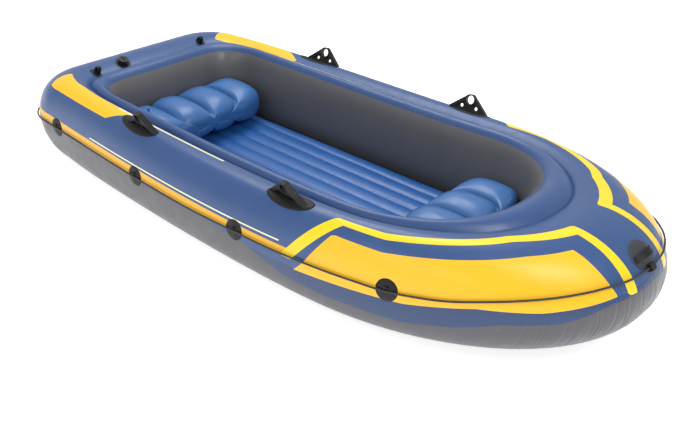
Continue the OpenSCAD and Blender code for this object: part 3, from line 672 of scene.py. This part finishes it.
def base_discs(name, spots, thick, material, replaced, power=2.0, dome=0.0):
    bm = bmesh.new()
    for s, angle, half_s, half_t, side in spots:
        for face_of in (0, 1):
            grid = bmesh.ops.create_grid(bm, x_segments=22, y_segments=22, size=1.0)["verts"]
            for v in grid:
                x, y = v.co.x, v.co.y
                far = max(abs(x), abs(y))
                if far > 1e-9:
                    length = (abs(x) ** power + abs(y) ** power) ** (1 / power)
                    x, y = x * far / length, y * far / length
                edge = math.sqrt(max(1 - far ** 8, 0))
                height = 0.0 if face_of else thick * edge + dome * (1 - far * far) ** 2
                v.co = disc_point(s, angle, half_s, half_t, side, x, y, height - 0.0002)
    bmesh.ops.remove_doubles(bm, verts=bm.verts, dist=5e-5)
    bmesh.ops.recalc_face_normals(bm, faces=bm.faces)
    piece = finished(name, bm)
    give(piece, material)
    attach(piece, "hull")
    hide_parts(*replaced)


OARLOCK_AT = {"aft": 0.885, "fore": 1.742}
OARLOCK_TURN = 79
BASE_T = 0.0025
for side, sign in (("port", 1), ("starboard", -1)):
    for place, x in OARLOCK_AT.items():
        base_discs(f"oarlock_base_{side}_{place}", [(port_run(x), OARLOCK_TURN, 0.116, 20, sign)], BASE_T,
                   black_rubber, [f"oarlock_patch_{side}_{place}"], power=2.1)
        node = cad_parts[f"oarlock_{side}_{place}"]
        give(node, black_rubber)
        round_edges(node, 0.0014, 3)

# ---- Motor fittings ----
# Two black rubber lugs on oval pads at the stern corners, with a cross hole for a motor bracket's tubes.
PAD = (0.370, 112, 0.037, 10.3)
base_discs("motor_bases", [(*PAD, 1), (*PAD, -1)], BASE_T, black_rubber, ["motor_pads"])
for side in ("port", "starboard"):
    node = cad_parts[f"motor_lug_{side}"]
    give(node, black_rubber)
    round_edges(node, 0.002, 3)

# ---- Line holders ----
# Eight round domed discs of black rubber welded along the sides, each with an arch that the line runs through.
HOLDERS = [(0.303, 2), (0.929, 3), (1.548, 5), (2.249, 7)]
HOLDER_R = 0.044
ARCH_R = 0.0115
ARCH_BAR = 0.005
spots = [(port_run(x), angle, HOLDER_R, 12.8, sign) for sign in (1, -1) for x, angle in HOLDERS]
base_discs("holder_bases", spots, BASE_T, black_rubber, ["holder_discs"], dome=0.0035)


def tube_frame(s, angle, side):
    """Axes on the tube: outward, along the outline and up the surface, with their origin on the skin."""
    here = Section(s).outer(angle)
    along = (Section(s + 0.005).outer(angle) - Section(s - 0.005).outer(angle)).normalized()
    up = (Section(s).outer(angle + 1) - Section(s).outer(angle - 1)).normalized()
    out = up.cross(along).normalized()
    flat = Vector((-out.y, out.x, 0)).normalized()
    rows = [out, flat, out.cross(flat)]
    m = Matrix((*rows,)).transposed().to_4x4()
    m.translation = here
    return Matrix.Diagonal((1, side, 1, 1)) @ m


bm = bmesh.new()
for x, angle in HOLDERS:
    for side in (1, -1):
        ring = bmesh.ops.create_circle(bm, segments=14, radius=ARCH_BAR)
        verts = ring["verts"]
        bmesh.ops.transform(bm, verts=verts, matrix=Matrix.Diagonal((1, 1.9, 1, 1)))
        bmesh.ops.translate(bm, verts=verts, vec=Vector((ARCH_R + ARCH_BAR * 0.6, 0, 0)))
        edges = list({e for v in verts for e in v.link_edges})
        swept = bmesh.ops.spin(bm, geom=verts + edges, cent=(0, 0, 0), axis=(0, 1, 0), dvec=(0, 0, 0),
                               angle=math.radians(200), steps=22, use_merge=False)
        whole = list({v for v in swept["geom_last"] if isinstance(v, bmesh.types.BMVert)} | set(verts))
        linked = set(whole)
        todo = list(whole)
        while todo:
            v = todo.pop()
            for e in v.link_edges:
                o = e.other_vert(v)
                if o not in linked:
                    linked.add(o)
                    todo.append(o)
        every = list(linked)
        bmesh.ops.rotate(bm, verts=every, cent=(0, 0, 0), matrix=Matrix.Rotation(math.radians(100), 3, "Y"))
        bmesh.ops.translate(bm, verts=every, vec=Vector((0.006, 0, 0)))
        bmesh.ops.transform(bm, verts=every, matrix=tube_frame(port_run(x), angle, side))
        open_edges = [e for e in {e for v in every for e in v.link_edges} if len(e.link_faces) == 1]
        bmesh.ops.holes_fill(bm, edges=open_edges, sides=0)
bmesh.ops.recalc_face_normals(bm, faces=bm.faces)
arches = finished("holder_arches", bm)
give(arches, black_rubber)
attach(arches, "hull")
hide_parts("holder_lugs")

# ---- Bow handle ----
# A dark grey welded patch on the nose with a moulded carrying strap across it, and below it the block that the
# ends of the grab line are made fast in.
nose = Paint("dark patch vinyl", roughness=0.5)
nose.bump(nose.noise(1400, detail=1), 0.0003, 0.5)
patch_vinyl = nose.done(nose.mix(nose.remap(nose.noise(16, detail=5), 0.3, 0.8, 0.0, 0.4), (0.022, 0.026, 0.036),
                                 (0.05, 0.058, 0.075)))
base_discs("bow_base", [(TIP - 1e-4, 43, 0.073, 14.3, 1)], BASE_T, patch_vinyl, ["bow_patch"])
for name in ("bow_handle", "rope_lock"):
    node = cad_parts[name]
    give(node, black_rubber)
    round_edges(node, 0.0014, 3)

# ---- Studio ----
# A pale sweep under soft light, with a large soft box high over the port side for the long highlights.
bpy.ops.mesh.primitive_plane_add(size=60, location=(0, 0, -0.0005))
ground = bpy.context.active_object
ground.name = "studio_floor"
pale = Paint("pale sweep", roughness=0.9, specular=0.1)
give(ground, pale.done(pale.mix(pale.remap(pale.noise(2), 0.3, 0.7, 0.0, 0.2), (0.86, 0.86, 0.86), (0.83, 0.83, 0.84))))
pale.put(pale.shader.inputs["Emission Color"], (1, 1, 1, 1))
pale.put(pale.shader.inputs["Emission Strength"], 0.7)
world = bpy.data.worlds.new("studio")
bpy.context.scene.world = world
world.use_nodes = True
world.node_tree.nodes["Background"].inputs["Color"].default_value = (1, 1, 1, 1)
world.node_tree.nodes["Background"].inputs["Strength"].default_value = 0.72


def soft_box(name, at, size, power, towards=(0, 0, 0.2)):
    lamp = bpy.data.lights.new(name, "AREA")
    lamp.shape = "RECTANGLE"
    lamp.size, lamp.size_y = size
    lamp.energy = power
    lamp_object = bpy.data.objects.new(name, lamp)
    lamp_object.location = at
    lamp_object.rotation_euler = (Vector(towards) - Vector(at)).to_track_quat("-Z", "Y").to_euler()
    bpy.context.scene.collection.objects.link(lamp_object)


soft_box("over_stern", (-1.5, 0.6, 3.6), (3.0, 2.0), 90)
soft_box("over_bow", (2.6, -0.6, 3.0), (1.6, 1.6), 45)
soft_box("side_fill", (0.5, -5.0, 2.2), (4.0, 1.5), 35)
